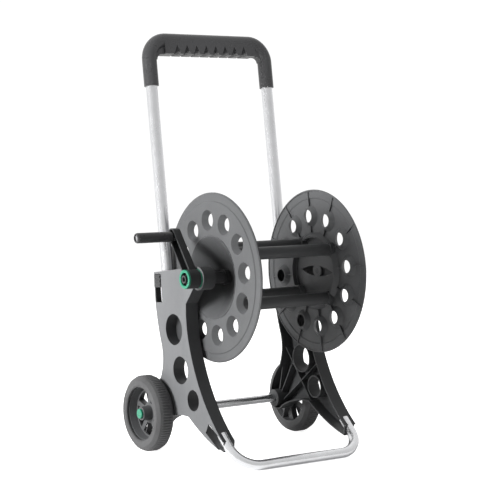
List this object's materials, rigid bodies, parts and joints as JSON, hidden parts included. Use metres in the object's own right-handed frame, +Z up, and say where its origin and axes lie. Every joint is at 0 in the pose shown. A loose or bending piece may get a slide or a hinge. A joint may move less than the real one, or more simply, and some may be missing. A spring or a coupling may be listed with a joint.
{
  "type": "garden hose reel cart",
  "caption": "Wheeled garden hose reel cart with a crank-wound drum, plastic leg frames, tubular push handle and foot bar.",
  "frame": {"origin": "on the floor, at the centre of the bounding box seen from above", "axes": "+Z up; front (foot bar) towards -Y, handle and wheels towards +Y; crank on -X; reel axis along X"},
  "size_m": [0.4888, 0.4173, 0.8847],
  "materials": {
    "plastic": "fine-grained anthracite moulded plastic",
    "rim": "dark moulded plastic",
    "grip": "satin black moulded plastic",
    "bearing": "smooth dark plastic",
    "green": "glossy teal green plastic",
    "tyre": "black solid tyre with fine cross grooves",
    "aluminium": "bright polished tube",
    "chrome": "bright polished tube",
    "steel": "zinc plated steel"
  },
  "bodies": {
    "frame": {"leg_right": "plastic", "leg_left": "plastic", "foot_tube": "chrome", "bush_right": "bearing", "bush_left": "bearing", "axle": "steel", "axle_washers": "steel", "hub_cap_right": "green", "hub_cap_left": "green"},
    "reel": {"flange_left": "plastic", "flange_right": "plastic", "drum_tube_1": "plastic", "drum_tube_2": "plastic", "drum_tube_3": "plastic", "drum_tube_4": "plastic", "drum_screws": "steel", "hub_shaft": "bearing", "stub_shaft": "bearing", "stub_retainer": "grip", "hose_outlet": "bearing", "crank_hub": "plastic", "washer_ring": "green", "crank_arm": "plastic", "crank_pin": "steel", "inlet_ring": "green", "water_inlet": "bearing"},
    "crank_knob": {"crank_grip": "grip"},
    "wheel_right": {"tyre_right": "tyre", "rim_right": "rim"},
    "wheel_left": {"tyre_left": "tyre", "rim_left": "rim"},
    "handle": {"handle_tube": "aluminium", "handle_grip": "grip"},
    "latch_right": {"latch_right": "grip"},
    "latch_left": {"latch_left": "grip"}
  },
  "joints": [
    {"name": "reel_spin", "type": "hinge", "parent": "frame", "child": "reel", "pos_m": [0.03015, -0.03543, 0.3778], "axis": [1, 0, 0], "continuous": true},
    {"name": "crank_grip_spin", "type": "hinge", "parent": "reel", "child": "crank_knob", "pos_m": [-0.19985, 0.03053, 0.46014], "axis": [1, 0, 0], "continuous": true},
    {"name": "wheel_right_spin", "type": "hinge", "parent": "frame", "child": "wheel_right", "pos_m": [0.22215, 0.12547, 0.08], "axis": [1, 0, 0], "continuous": true},
    {"name": "wheel_left_spin", "type": "hinge", "parent": "frame", "child": "wheel_left", "pos_m": [-0.16185, 0.12547, 0.08], "axis": [1, 0, 0], "continuous": true},
    {"name": "handle_slide", "type": "slide", "parent": "frame", "child": "handle", "axis": [0, 0.1561, 0.9877], "range_m": [0, 0.06]},
    {"name": "latch_right_slide", "type": "slide", "parent": "frame", "child": "latch_right", "axis": [0, -0.0976, -0.9952], "range_m": [0, 0.016], "stiffness_N_per_m": 300, "springref_m": -0.003},
    {"name": "latch_left_slide", "type": "slide", "parent": "frame", "child": "latch_left", "axis": [0, -0.0976, -0.9952], "range_m": [0, 0.016], "stiffness_N_per_m": 300, "springref_m": -0.003}
  ]
}
